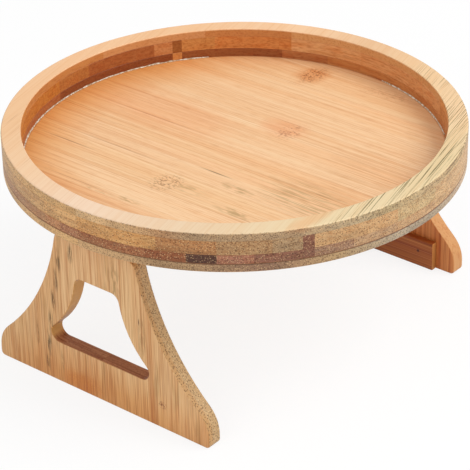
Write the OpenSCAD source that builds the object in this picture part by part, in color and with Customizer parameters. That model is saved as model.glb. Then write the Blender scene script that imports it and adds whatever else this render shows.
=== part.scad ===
// Round bamboo tray on two facing legs that stand either side of a sofa arm
// and fold flat under the tray. Legs face each other along X, feet at z = 0.

/* [Tray] */
// Outside diameter of the tray
tray_d = 250; // [240:1:300]
// Width of the rim, wall to wall
rim_w = 10.75; // [8:0.25:16]
// Thickness of the rim's top ply
top_ply_t = 4.65; // [3:0.05:8]
// Thickness of the rim's middle ply
core_ply_t = 7.7; // [4:0.05:12]
// Thickness of the rim's lower ply
low_ply_t = 4.9; // [3:0.05:8]
// Thickness of the floor panel
floor_t = 5; // [4.6:0.1:9]
// Rounding of the rim's outer top edge and the floor's bottom edge
edge_r = 1; // [0.4:0.1:2]
// Easing of the rim's inner top edge
inner_edge_r = 0.4; // [0.2:0.1:1]

/* [Legs] */
// Clear height under the tray
under_h = 98.75; // [92:0.25:104]
// Distance of a leg's outer face in from the tray's edge
leg_inset = 10.88; // [9:0.04:13]
// Thickness of a leg board
leg_t = 8.9; // [8:0.1:12]
// Gap between the top end of a leg and the tray
leg_top_gap = 4.55; // [3.5:0.05:6]
// Half of a leg's straight top end
top_half = 22; // [20:0.5:26]
// Radius of a leg's top corners
top_corner_r = 6.2; // [3:0.1:9]
// Half of a leg's foot
foot_half = 74; // [68:0.5:90]
// Radius of the toe where the side turns down to the foot
toe_r = 19; // [8:0.5:26]
// Height of the upright end of the foot
toe_h = 6; // [3:0.5:12]
// Radius of the bottom corners of the foot
foot_corner_r = 2.5; // [1:0.25:2.75]
// Radius of the hollow side of a leg
side_r = 130; // [110:1:180]

/* [Cut-out] */
// Height of the cut-out's lower edge above the foot
hole_z0 = 25.2; // [22:0.2:30]
// Height of the cut-out's upper edge above the foot
hole_z1 = 69.8; // [64:0.2:71]
// Half of the straight upper edge
hole_top_half = 10.4; // [7:0.2:12]
// Radius of the upper corners
hole_top_r = 5; // [3:0.2:7]
// Half of the straight lower edge
hole_low_half = 29.2; // [24:0.2:31]
// Radius of the lower corners
hole_low_r = 5; // [3:0.2:7]
// Radius of the cut-out's hollow side
hole_side_r = 54; // [44:1:90]

/* [Grip batten] */
// Length of a batten
batten_l = 123; // [90:1:132]
// Height of a batten
batten_h = 17.6; // [12:0.2:20]
// Thickness of a batten
batten_t = 3.8; // [2:0.1:4.4]
// Chamfer on a batten's free edges
batten_edge = 0.5; // [0.2:0.1:1]

/* [Hinges] */
// Distance of each hinge's middle from the leg's middle
hinge_y = 12; // [10.5:0.25:13]
// Width of a hinge leaf
leaf_w = 18; // [17:0.5:19]
// Length of a leaf from the pin
leaf_l = 18; // [16:0.5:20]
// Sheet thickness of the leaves
sheet_t = 1; // [0.8:0.1:1.2]
// Distance of the pin from the tray and from the leg's inner face
pin_off = 3.6; // [3.6:0.1:4.5]
// Diameter of the hinge pin
pin_d = 2.4; // [2:0.1:2.6]
// Diameter of the pin's head
pin_head_d = 4; // [3.4:0.1:4.4]
// Thickness of the pin's head
pin_head_t = 0.8; // [0.5:0.1:1.2]
// Radius of a leaf's outer corners
leaf_corner_r = 2; // [1:0.25:3]

/* [Springs] */
// Wire of a torsion spring
wire_d = 0.8; // [0.6:0.05:0.85]
// Pitch of the coil
coil_pitch = 1.35; // [1.3:0.01:1.4]
// Full turns of the coil
coil_turns = 7; // [5:1:7]
// Length of a spring's arms
arm_l = 6.5; // [4:0.25:7]

/* [Screws] */
// Diameter of a screw's shank
screw_d = 2.5; // [2:0.1:3]
// Diameter of a screw's head
screw_head_d = 4.6; // [4:0.1:5]
// Height of a screw's head
screw_head_t = 1.2; // [0.8:0.1:1.4]
// Depth of the leaf screws in the tray
tray_screw_l = 3.6; // [2.5:0.1:3.8]
// Depth of the leaf screws in a leg
leg_screw_l = 6.5; // [4:0.1:7]
// Distance between the two screws of a leaf
screw_pitch = 9.5; // [8.5:0.25:10]
// Distance of the screws from the pin
screw_x = 12.5; // [12:0.25:13]

/* [Hidden] */
$fn = 96;
// Running clearance of the pin in the ears
pin_clear = 0.05;
// Clearance between a leaf's ears and the other leaf
ear_clear = 0.3;
// Clearance along the pin between ears
side_clear = 0.2;
// Clearance of the open leg against its stop
stop_clear = 0.1;
// Clearance of a screw in its pilot hole
pilot_clear = 0.03;
// Clearance between the coil and the pin
coil_clear = 0.2;
// Overrun of a cut past a face
cut = 1;
// Fineness of the legs' arcs: larger is coarser
arc_grade = 36;

tray_r = tray_d / 2;
well_r = tray_r - rim_w;
floor_z = under_h;
low_ply_z = floor_z + floor_t;
core_ply_z = low_ply_z + low_ply_t;
top_ply_z = core_ply_z + core_ply_t;

leg_h = under_h - leg_top_gap;
leg_in_x = tray_r - leg_inset - leg_t;
pin_x = leg_in_x - pin_off;
pin_z = under_h - pin_off;
pin_r = pin_d / 2;
ear_r = pin_off - sheet_t - ear_clear;
ear_y = leaf_w / 2 - sheet_t;
inner_ear_y = ear_y - side_clear - sheet_t;
wire_r = wire_d / 2;
coil_r = pin_r + coil_clear + wire_r;
coil_sides = 6;
coil_rings = 8;

// Centre of a circle of radius r that touches two circles from outside.
// a and b are their centres, ra and rb their radii; the centre lies on the right.
function outer_centre(a, ra, b, rb, r) =
    let (d = norm(b - a), e = (b - a) / d, p = r + ra, q = r + rb)
    let (along = (d * d + p * p - q * q) / (2 * d))
    let (aside = sqrt(p * p - along * along))
    a + e * along + [-e[1], e[0]] * aside;

// Places a left-side piece on the left, or its mirror image on the right.
module on_side(side) {
    if (side > 0) {
        mirror([1, 0, 0]) children();
    } else {
        children();
    }
}

// Points of an arc about c from angle a0 to a1.
function arc(c, r, a0, a1) =
    let (n = ceil(abs(a1 - a0) * sqrt(r) / arc_grade))
    [for (i = [0 : n]) let (t = a0 + (a1 - a0) * i / n) c + r * [cos(t), sin(t)]];

// Direction from p to q, as an angle.
function heading(p, q) = atan2(q[1] - p[1], q[0] - p[0]);

// The same direction between 0 and 360.
function bearing(p, q) = (heading(p, q) + 360) % 360;

// One hollow side: a corner of radius ra about a, the hollow of radius r, and
// a lower round of radius rb about b that ends at the angle end.
function hollow_side(a, ra, b, rb, r, end) =
    let (c = outer_centre(a, ra, b, rb, r))
    concat(
        arc(a, ra, 90, heading(a, c)),
        arc(c, r, bearing(c, a), bearing(c, b)),
        arc(b, rb, heading(b, c), end)
    );

// Closed outline from its right half, mirrored.
function both_halves(half) =
    concat(half, [for (i = [len(half) - 1 : -1 : 0]) [-half[i][0], half[i][1]]]);

// Outline of a leg board, seen along X: Y across, Z up.
module leg_outline() {
    toe = [foot_half - toe_r, toe_h];
    corner = [foot_half - foot_corner_r, foot_corner_r];
    polygon(both_halves(concat(
        hollow_side([top_half, leg_h - top_corner_r], top_corner_r, toe, toe_r, side_r, 0),
        arc(corner, foot_corner_r, 0, -90)
    )));
}

// Outline of the cut-out in a leg board.
module hole_outline() {
    polygon(both_halves(
        hollow_side([hole_top_half, hole_z1 - hole_top_r], hole_top_r,
            [hole_low_half, hole_z0 + hole_low_r], hole_low_r, hole_side_r, -90)
    ));
}

// Stands an outline drawn in Y and Z up, with its thickness along +X from x.
module stand_up(x, thickness) {
    translate([x, 0, 0]) rotate([90, 0, 90]) linear_extrude(height = thickness) children();
}

// Two places of the screws on one leaf, along Y.
module leaf_screw_rows() {
    for (row = [-1, 1]) {
        translate([0, row * screw_pitch / 2, 0]) children();
    }
}

// Both hinges of one leg, along Y.
module hinge_rows() {
    for (row = [-1, 1]) {
        translate([0, row * hinge_y, 0]) children();
    }
}

// Ring with a rectangular section from z0, its outer and inner top edges eased.
module rim_ring(z0, height, outer_ease, inner_ease) {
    translate([0, 0, z0]) rotate_extrude() {
        translate([well_r, 0]) square([rim_w, height - max(outer_ease, inner_ease)]);
        if (outer_ease > 0) {
            translate([well_r + inner_ease, 0]) square([rim_w - outer_ease - inner_ease, height]);
            translate([tray_r - outer_ease, height - outer_ease]) circle(r = outer_ease);
            translate([well_r, 0]) square([inner_ease * 2, height - inner_ease]);
            translate([well_r + inner_ease, height - inner_ease]) circle(r = inner_ease);
        }
    }
}

module rim_top_ply() {
    color("burlywood") rim_ring(top_ply_z, top_ply_t, edge_r, inner_edge_r);
}

module rim_core_ply() {
    color("tan") rim_ring(core_ply_z, core_ply_t, 0, 0);
}

module rim_lower_ply() {
    color("sienna") rim_ring(low_ply_z, low_ply_t, 0, 0);
}

module floor_panel() {
    color("burlywood") difference() {
        translate([0, 0, floor_z]) rotate_extrude() {
            square([tray_r - edge_r, floor_t]);
            translate([0, edge_r]) square([tray_r, floor_t - edge_r]);
            translate([tray_r - edge_r, edge_r]) circle(r = edge_r);
        }
        for (side = [-1, 1]) {
            on_side(side) tray_pilot_holes();
        }
    }
}

module tray_pilot_holes() {
    translate([screw_x - pin_x, 0, floor_z - cut]) {
        hinge_rows() leaf_screw_rows()
            cylinder(r = screw_d / 2 + pilot_clear, h = tray_screw_l + pilot_clear + cut);
    }
}

module leg_board(side) {
    color("peru") on_side(side) difference() {
        stand_up(-leg_in_x - leg_t, leg_t) difference() {
            leg_outline();
            hole_outline();
        }
        translate([cut - leg_in_x, 0, pin_z - screw_x]) {
            hinge_rows() leaf_screw_rows() rotate([0, -90, 0])
                cylinder(r = screw_d / 2 + pilot_clear, h = leg_screw_l + pilot_clear + cut);
        }
    }
}

module left_leg_board() {
    leg_board(-1);
}

module right_leg_board() {
    leg_board(1);
}

// Batten glued on the leg's inner face, level with the foot.
module grip_batten(side) {
    l = batten_l / 2;
    e = batten_edge;
    color("chocolate") on_side(side) translate([-leg_in_x, l, 0]) rotate([90, 0, 0])
        linear_extrude(height = batten_l)
            polygon([
                [0, 0], [batten_t - e, 0], [batten_t, e],
                [batten_t, batten_h - e], [batten_t - e, batten_h], [0, batten_h]
            ]);
}

module left_grip_batten() {
    grip_batten(-1);
}

module right_grip_batten() {
    grip_batten(1);
}

// Moves to the hinge at one end of a leg: the pin's middle, pin along Y.
module at_hinge(side, row) {
    on_side(side) translate([-pin_x, row * hinge_y, pin_z]) children();
}

// Plate of a leaf along +X under the surface it is screwed to, with its
// holes, from x0 to the leaf's length; the surface is at z = pin_off.
module leaf_plate(x0) {
    r = leaf_corner_r;
    difference() {
        translate([0, 0, pin_off - sheet_t]) linear_extrude(height = sheet_t) {
            translate([x0, -leaf_w / 2]) square([leaf_l - r - x0, leaf_w]);
            translate([0, r - leaf_w / 2]) square([leaf_l, leaf_w - 2 * r]);
            for (row = [-1, 1]) {
                translate([leaf_l - r, row * (leaf_w / 2 - r)]) circle(r = r);
            }
        }
        translate([screw_x, 0, 0]) leaf_screw_rows()
            cylinder(r = screw_d / 2 + pilot_clear, h = pin_off + cut);
    }
}

// Ear turned down from a leaf, with the pin's hole, from y to y + sheet_t.
module leaf_ear(y) {
    translate([0, y + sheet_t, 0]) rotate([90, 0, 0]) linear_extrude(height = sheet_t)
        difference() {
            union() {
                circle(r = ear_r);
                translate([-ear_r, 0]) square([2 * ear_r, pin_off - sheet_t]);
            }
            circle(r = pin_r + pin_clear);
        }
}

module tray_leaf(side, row) {
    color("silver") at_hinge(side, row) {
        leaf_plate(-pin_off);
        leaf_ear(ear_y);
        leaf_ear(-ear_y - sheet_t);
    }
}

// The leg's leaf is the same pressing turned down against the leg, with its
// ears inside the tray leaf's; its top end stands against the tray leaf.
module leg_leaf(side, row) {
    color("lightsteelblue") at_hinge(side, row) mirror([1, 0, 0]) rotate([0, 90, 0]) {
        leaf_plate(sheet_t + stop_clear - pin_off);
        leaf_ear(inner_ear_y);
        leaf_ear(-inner_ear_y - sheet_t);
    }
}

// Headed pin with a peened far end.
module hinge_pin(side, row) {
    reach = leaf_w / 2 + pin_clear;
    color("gray") at_hinge(side, row) rotate([90, 0, 0]) {
        translate([0, 0, -reach]) cylinder(r = pin_r, h = 2 * reach);
        translate([0, 0, reach]) cylinder(r = pin_head_d / 2, h = pin_head_t);
        translate([0, 0, -reach - pin_head_t]) cylinder(r = pin_head_d / 2, h = pin_head_t);
    }
}

// Points of a torsion spring: an arm under the tray leaf, the coil round the
// pin, and an arm down the leg leaf.
coil_len = coil_pitch * (coil_turns + 0.25);
coil_steps = coil_rings * coil_turns + coil_rings / 4;
coil_path = concat(
    [[arm_l, -coil_len / 2, coil_r], [arm_l / 2, -coil_len / 2, coil_r]],
    [for (i = [0 : coil_steps])
        let (turn = 90 + 360 * i / coil_rings)
        [coil_r * cos(turn), coil_len * (i / coil_steps - 0.5), coil_r * sin(turn)]],
    [[-coil_r, coil_len / 2, -arm_l / 2], [-coil_r, coil_len / 2, -arm_l]]
);

// Least distance between the wire's middle lines a turn apart, less the wire.
coil_gap = min([for (i = [0 : len(coil_path) - 1])
    for (j = [i + 5 : 1 : len(coil_path) - 1])
    norm(coil_path[i] - coil_path[j])]) - wire_d;
echo(str("least gap of a spring to itself, mm: ", coil_gap));

// Direction of a path at point i.
function along(path, i) =
    let (d = path[min(i + 1, len(path) - 1)] - path[max(i - 1, 0)])
    d / norm(d);

// Closed tube of n sides along a path that winds round the Y axis.
module wound_tube(path, r, n) {
    rings = [for (i = [0 : len(path) - 1])
        let (t = along(path, i))
        let (side_raw = cross(t, [0, 1, 0]), side = side_raw / norm(side_raw), up = cross(side, t))
        for (k = [0 : n - 1])
            path[i] + r * (cos(360 * k / n) * side + sin(360 * k / n) * up)];
    last = (len(path) - 1) * n;
    polyhedron(
        points = rings,
        faces = concat(
            [for (i = [0 : len(path) - 2])
                for (k = [0 : n - 1])
                    [i * n + k, i * n + (k + 1) % n, (i + 1) * n + k]],
            [for (i = [0 : len(path) - 2])
                for (k = [0 : n - 1])
                    [i * n + (k + 1) % n, (i + 1) * n + (k + 1) % n, (i + 1) * n + k]],
            [[for (k = [0 : n - 1]) n - 1 - k]],
            [[for (k = [0 : n - 1]) last + k]]
        )
    );
}

module torsion_spring(side, row) {
    color("dimgray") at_hinge(side, row) wound_tube(coil_path, wire_r, coil_sides);
}

// Pan-head screw driven along +Z through a leaf, its shank l deep in the wood.
module leaf_screw(l) {
    translate([0, 0, -sheet_t]) cylinder(r = screw_d / 2, h = sheet_t + l);
    translate([0, 0, -sheet_t - screw_head_t]) cylinder(r = screw_head_d / 2, h = screw_head_t);
}

module tray_leaf_screws() {
    color("gainsboro") for (side = [-1, 1]) {
        on_side(side) translate([screw_x - pin_x, 0, floor_z])
            hinge_rows() leaf_screw_rows() leaf_screw(tray_screw_l);
    }
}

module leg_leaf_screws(side) {
    color("gainsboro") on_side(side) translate([-leg_in_x, 0, pin_z - screw_x])
        hinge_rows() leaf_screw_rows() rotate([0, -90, 0]) leaf_screw(leg_screw_l);
}

module left_leg_leaf_screws() {
    leg_leaf_screws(-1);
}

module right_leg_leaf_screws() {
    leg_leaf_screws(1);
}

rim_top_ply();
rim_core_ply();
rim_lower_ply();
floor_panel();
left_leg_board();
right_leg_board();
left_grip_batten();
right_grip_batten();
tray_leaf(-1, -1);  // left_front_tray_leaf
tray_leaf(-1, 1);  // left_back_tray_leaf
tray_leaf(1, -1);  // right_front_tray_leaf
tray_leaf(1, 1);  // right_back_tray_leaf
leg_leaf(-1, -1);  // left_front_leg_leaf
leg_leaf(-1, 1);  // left_back_leg_leaf
leg_leaf(1, -1);  // right_front_leg_leaf
leg_leaf(1, 1);  // right_back_leg_leaf
hinge_pin(-1, -1);  // left_front_pin
hinge_pin(-1, 1);  // left_back_pin
hinge_pin(1, -1);  // right_front_pin
hinge_pin(1, 1);  // right_back_pin
torsion_spring(-1, -1);  // left_front_spring
torsion_spring(-1, 1);  // left_back_spring
torsion_spring(1, -1);  // right_front_spring
torsion_spring(1, 1);  // right_back_spring
tray_leaf_screws();
left_leg_leaf_screws();
right_leg_leaf_screws();
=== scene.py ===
import bpy
import math
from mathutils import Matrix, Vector


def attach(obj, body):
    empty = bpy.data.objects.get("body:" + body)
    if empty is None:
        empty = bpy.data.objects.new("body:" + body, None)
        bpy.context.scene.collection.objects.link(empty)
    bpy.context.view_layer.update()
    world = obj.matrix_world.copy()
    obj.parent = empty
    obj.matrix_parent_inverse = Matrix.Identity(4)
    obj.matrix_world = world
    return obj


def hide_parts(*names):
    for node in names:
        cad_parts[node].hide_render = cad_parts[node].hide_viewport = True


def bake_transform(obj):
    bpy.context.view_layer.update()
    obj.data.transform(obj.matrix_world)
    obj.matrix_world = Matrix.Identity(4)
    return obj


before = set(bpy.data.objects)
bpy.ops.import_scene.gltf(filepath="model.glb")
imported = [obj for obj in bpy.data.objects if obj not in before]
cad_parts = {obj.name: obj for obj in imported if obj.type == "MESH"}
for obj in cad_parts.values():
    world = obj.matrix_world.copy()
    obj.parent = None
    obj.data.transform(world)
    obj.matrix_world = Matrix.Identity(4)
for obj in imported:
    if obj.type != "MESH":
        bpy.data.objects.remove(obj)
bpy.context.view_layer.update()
mm = 0.001
# Shared by all pieces: angles in degrees, how near two points are one, and which faces are level.
easeAbove = 30
smoothBelow = 32
smoothRound = 60
flatWithin = 0.5
samePoint = 0.002 * mm
slack = 0.01 * mm
levelFace = 0.9
print("frame loaded")


# Small helpers for materials. An sRGB hex colour becomes linear here and nowhere else.
def hexColour(code):
    parts = [int(code[i:i + 2], 16) / 255 for i in (1, 3, 5)]
    return [p / 12.92 if p <= 0.04045 else ((p + 0.055) / 1.055) ** 2.4 for p in parts] + [1]


# Adds one node, links or sets its inputs, and hands back the output that is wanted.
def addNode(tree, kind, inputs=None, out=0, **settings):
    node = tree.nodes.new("ShaderNode" + kind)
    for name, value in settings.items():
        setattr(node, name, value)
    for key, value in (inputs or {}).items():
        if isinstance(value, bpy.types.NodeSocket):
            tree.links.new(value, node.inputs[key])
        else:
            node.inputs[key].default_value = hexColour(value) if isinstance(value, str) else value
    return node.outputs[out]


tinting = {"out": 2, "data_type": "RGBA", "blend_type": "MULTIPLY"}  # stains what lies under it
painting = {"out": 2, "data_type": "RGBA", "blend_type": "MIX"}  # covers what lies under it


def newMaterial(name):
    material = bpy.data.materials.new(name)
    material.use_nodes = True
    tree = material.node_tree
    return material, tree, tree.nodes["Principled BSDF"]


# Helpers for modelling: select in code, work in edit mode, apply.
def putInScene(thing):
    bpy.context.scene.collection.objects.link(thing)


def takeUp(piece):
    bpy.ops.object.select_all(action="DESELECT")
    piece.select_set(True)
    bpy.context.view_layer.objects.active = piece


def pick(piece, kind, test):
    takeUp(piece)
    bpy.ops.object.mode_set(mode="EDIT")
    bpy.ops.mesh.select_mode(type=kind)
    bpy.ops.mesh.select_all(action="DESELECT")
    bpy.ops.object.mode_set(mode="OBJECT")
    if kind == "FACE":
        for face in piece.data.polygons:
            face.select = test(face.center, face.normal)
    else:
        points = piece.data.vertices
        for edge in piece.data.edges:
            edge.select = test(points[edge.vertices[0]].co, points[edge.vertices[1]].co)
    bpy.ops.object.mode_set(mode="EDIT")


def pickAll(piece):
    pick(piece, "FACE", lambda centre, normal: True)


def leaveEdit():
    bpy.ops.object.mode_set(mode="OBJECT")


# Joins the points that lie on one spot, and stays in edit mode.
def joinPoints(piece):
    pickAll(piece)
    bpy.ops.mesh.remove_doubles(threshold=samePoint)


def faceOutwards(piece):
    pickAll(piece)
    bpy.ops.mesh.normals_make_consistent(inside=False)
    leaveEdit()


def applyPlace(piece):
    takeUp(piece)
    bpy.ops.object.transform_apply(location=True, rotation=True, scale=True)


def smoothOver(piece, angle=smoothBelow):
    takeUp(piece)
    bpy.ops.object.shade_smooth_by_angle(angle=math.radians(angle))
    weight = piece.modifiers.new("faceWeight", "WEIGHTED_NORMAL")
    weight.keep_sharp = True
    bpy.ops.object.modifier_apply(modifier=weight.name)


def easeEdges(piece, width, segments):
    takeUp(piece)
    bevel = piece.modifiers.new("easedEdges", "BEVEL")
    bevel.width = width
    bevel.segments = segments
    bevel.limit_method = "ANGLE"
    bevel.angle_limit = math.radians(easeAbove)
    bevel.loop_slide = False
    bevel.use_clamp_overlap = False
    bpy.ops.object.modifier_apply(modifier=bevel.name)


def stand(piece, body, slotName, material, *nodes):
    piece.data.materials.clear()
    piece.data.materials.append(material)
    for polygon in piece.data.polygons:
        polygon.material_index = 0
    if nodes:
        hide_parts(*nodes)
    if body:
        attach(piece, body)


# Bamboo is drawn in three dimensions, in millimetres: fibres run along one way, so a face that cuts them
# shows dots and a face that follows them shows streaks, as in the real board.
def mmPlace(tree):
    place = addNode(tree, "TexCoord", out="Object")
    return addNode(tree, "VectorMath", {0: place, "Scale": 1000.0}, operation="SCALE")


# Soft noise, or bundles drawn as small cells, stretched along the fibres.
def fibrePattern(tree, grain, layer, seed):
    stretch = [1 / s for s in layer["size"]]
    offset = (seed, seed * 1.7, seed)
    stretched = addNode(tree, "VectorMath", {0: grain, 1: stretch, 2: offset}, operation="MULTIPLY_ADD")
    if layer.get("cells"):
        return addNode(tree, "TexVoronoi", {"Vector": stretched, "Scale": 1.0})
    inputs = {"Vector": stretched, "Scale": 1.0, "Detail": layer.get("detail", 2.0), "Roughness": 0.55}
    return addNode(tree, "TexNoise", inputs)


def paintLayers(tree, grain, colour, layers, masks, seed):
    for number, layer in enumerate(layers):
        shade = layer["amount"]
        if "size" in layer:
            low, high = layer["edge"]
            pattern = fibrePattern(tree, grain, layer, seed + 3.7 * number)
            shade = addNode(tree, "MapRange", {0: pattern, 1: low, 2: high, 4: layer["amount"]})
        for name in layer.get("where", ()):
            shade = addNode(tree, "Math", {0: shade, 1: masks[name]}, operation="MULTIPLY")
        how = painting if layer.get("cover") else tinting
        colour = addNode(tree, "Mix", {0: shade, 6: colour, 7: layer["colour"]}, **how)
    return colour


# A stain, knot or node mark: an uneven oval at its place, broken into small fibres where it says so.
def paintMarks(tree, point, grain, colour, marks):
    for mark in marks:
        away = addNode(tree, "VectorMath", {0: point, 1: mark["at"]}, operation="SUBTRACT")
        inSizes = addNode(tree, "VectorMath", {0: away, 1: mark["size"]}, operation="DIVIDE")
        far = addNode(tree, "VectorMath", {0: inSizes}, out="Value", operation="LENGTH")
        wobble = mark.get("wobble", 0.5)
        lumps = {"size": (mark.get("wobbleSize", 6.0),) * 3}
        uneven = fibrePattern(tree, point, lumps, mark["at"][0] * 0.13)
        far = addNode(tree, "Math", {0: uneven, 1: wobble, 2: far}, operation="MULTIPLY_ADD")
        edge = 1.0 + wobble * 0.5
        full = edge - mark.get("soft", 0.6)
        shade = addNode(tree, "MapRange", {0: far, 1: edge, 2: full, 4: mark["amount"]})
        if mark.get("flecks"):
            flecks = fibrePattern(tree, grain, {"size": mark["flecks"]}, mark["at"][1] * 0.07)
            low, high = mark.get("fleckEdge", (0.48, 0.58))
            flecks = addNode(tree, "MapRange", {0: flecks, 1: low, 2: high})
            shade = addNode(tree, "Math", {0: shade, 1: flecks}, operation="MULTIPLY")
        how = painting if mark.get("cover") else tinting
        colour = addNode(tree, "Mix", {0: shade, 6: colour, 7: mark["colour"]}, **how)
    return colour


# Colours of glued strips or blocks, each beginning at its own place between 0 and 1. They end sharply,
# or with LINEAR one fades into the next.
def blockColours(tree, factor, stops, change="CONSTANT"):
    blocks = addNode(tree, "ValToRGB", {"Fac": factor}).node
    blocks.color_ramp.interpolation = change
    elements = blocks.color_ramp.elements
    while len(elements) < len(stops):
        elements.new(1.0)
    for element, (place, code) in zip(elements, stops):
        element.position = place
        element.color = hexColour(code)
    return blocks.outputs[0]


# Distance from the tray's middle line, and the compass angle round it as 0 to 1 from -180 to 180 degrees.
def aroundTray(tree, point):
    flat = addNode(tree, "VectorMath", {0: point, 1: (1, 1, 0)}, operation="MULTIPLY")
    distance = addNode(tree, "VectorMath", {0: flat}, out="Value", operation="LENGTH")
    parts = addNode(tree, "SeparateXYZ", {0: point}).node.outputs
    turn = addNode(tree, "Math", {0: parts["Y"], 1: parts["X"]}, operation="ARCTAN2")
    turn = addNode(tree, "MapRange", {0: turn, 1: -math.pi, 2: math.pi})
    return distance, turn, parts["Z"]


# How squarely a face looks along one axis of the object, 0 to 1.
def looksAlong(tree, axis):
    normal = addNode(tree, "TexCoord", out="Normal")
    along = addNode(tree, "SeparateXYZ", {0: normal}).node.outputs[axis]
    return addNode(tree, "Math", {0: along}, operation="ABSOLUTE")


def byAngle(stops):
    return [((angle + 180) / 360, code) for angle, code in stops]


# Marks lie at places on the object, lines in the frame of the fibres. A look without strips takes its
# colour from tint.
def bamboo(tree, shader, point, look, masks=None, marks=(), lines=(), tint=None):
    turn = [math.radians(a) for a in look["turn"]]
    grain = addNode(tree, "Mapping", {"Vector": point, "Rotation": turn})
    facing = addNode(tree, "TexCoord", out="Normal")
    facing = addNode(tree, "Mapping", {"Vector": facing, "Rotation": turn}, vector_type="VECTOR")
    along = addNode(tree, "SeparateXYZ", {0: facing}).node.outputs["X"]
    along = addNode(tree, "Math", {0: along}, operation="ABSOLUTE")
    masks = dict(masks or {})
    masks["cut"] = addNode(tree, "MapRange", {0: along, 1: look["cutFrom"], 2: look["cutTo"]})
    masks["side"] = addNode(tree, "Math", {0: 1.0, 1: masks["cut"]}, operation="SUBTRACT")
    across = addNode(tree, "SeparateXYZ", {0: grain}).node.outputs["Y"]
    start = look["stripStart"]
    across = addNode(tree, "MapRange", {0: across, 1: -start, 2: look["stripWidth"] - start}, clamp=False)
    strip = addNode(tree, "Math", {0: across}, operation="FLOOR")
    own = addNode(tree, "TexWhiteNoise", {"W": strip}, out="Value", noise_dimensions="1D")
    if look.get("strips"):
        count = len(look["strips"])
        tint = blockColours(tree, own, [(i / count, code) for i, code in enumerate(look["strips"])])
    slide = addNode(tree, "Math", {0: own, 1: look["slide"]}, operation="MULTIPLY")
    slide = addNode(tree, "CombineXYZ", {0: slide})
    inStrip = addNode(tree, "VectorMath", {0: grain, 1: slide}, operation="ADD")
    colour = paintLayers(tree, inStrip, tint, look["layers"], masks, look["seed"])
    joint = look.get("joint")
    if joint:
        off = addNode(tree, "Math", {0: across, 1: 0.5}, operation="PINGPONG")
        wide = joint["width"] / look["stripWidth"]
        shade = addNode(tree, "MapRange", {0: off, 1: wide, 2: 0.0, 4: joint["amount"]})
        shade = addNode(tree, "Math", {0: shade, 1: own}, operation="MULTIPLY")
        colour = addNode(tree, "Mix", {0: shade, 6: colour, 7: joint["colour"]}, **tinting)
    colour = paintMarks(tree, point, grain, colour, marks)
    colour = paintMarks(tree, grain, grain, colour, lines)
    fine = fibrePattern(tree, inStrip, {"size": look["bumpSize"]}, look["seed"] + 5.0)
    bump = addNode(tree, "Bump", {"Height": fine, "Strength": look["bump"], "Distance": look["bumpDeep"]})
    tree.links.new(bump, shader.inputs["Normal"])
    smooth, rough = look["roughness"]
    roughness = addNode(tree, "MapRange", {0: fine, 1: 0.2, 2: 0.8, 3: smooth, 4: rough})
    tree.links.new(roughness, shader.inputs["Roughness"])
    shader.inputs["IOR"].default_value = look["ior"]
    shader.inputs["Specular IOR Level"].default_value = look["specular"]
    tree.links.new(colour, shader.inputs["Base Color"])
    return colour


# What all bamboo shares: patterns in millimetres, turn in degrees. Slide shifts each strip's pattern, and
# from cutFrom to cutTo a face counts as cut across the fibres.
fibre = {
    "turn": (0, 0, 0), "stripStart": 0.0, "stripWidth": 20.5, "slide": 700.0, "seed": 3.0,
    "cutFrom": 0.35, "cutTo": 0.75, "bumpSize": (40.0, 1.0, 1.0), "bump": 0.15, "bumpDeep": 0.1 * mm,
    "roughness": (0.42, 0.56), "ior": 1.5, "specular": 0.32,
}

# Edge-glued bamboo panel, carbonised, sanded and lacquered. The eye gets a warm honey board with soft long
# fibres, faint strip joints, a few node marks and grey-green stains, and a silky shine.
floorLook = dict(
    fibre, turn=(0, 0, -90), stripStart=-1.0, seed=7.0,
    strips=["#edc497", "#efc79a", "#ebc091", "#f0ca9e", "#ecc394"],
    joint={"width": 0.35, "amount": 0.6, "colour": "#c79a6c"},
    layers=[
        {"size": (240, 5, 5), "edge": (0.4, 0.7), "amount": 0.45, "colour": "#f2d6b4"},
        {"size": (260, 17, 17), "edge": (0.45, 0.7), "amount": 0.35, "colour": "#feead8"},
        {"size": (150, 1.0, 1.0), "edge": (0.5, 0.78), "amount": 0.6, "colour": "#d9ae82"},
        {"size": (120, 0.8, 0.8), "edge": (0.55, 0.8), "amount": 0.4, "colour": "#fbdfb8", "cover": True},
        {"size": (10, 0.7, 0.7), "edge": (0.5, 0.75), "amount": 0.4, "colour": "#d8b48c"},
    ])
nodeMark = {"colour": "#a47c54", "amount": 0.7, "flecks": (1.8, 1.0, 3), "fleckEdge": (0.5, 0.6)}
greenStain = {"colour": "#b0ae88", "amount": 0.6, "flecks": (7, 2.0, 3), "fleckEdge": (0.44, 0.62)}
darkLine = {"colour": "#9a6e46", "amount": 0.6, "wobble": 0.12, "soft": 0.8}
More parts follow.
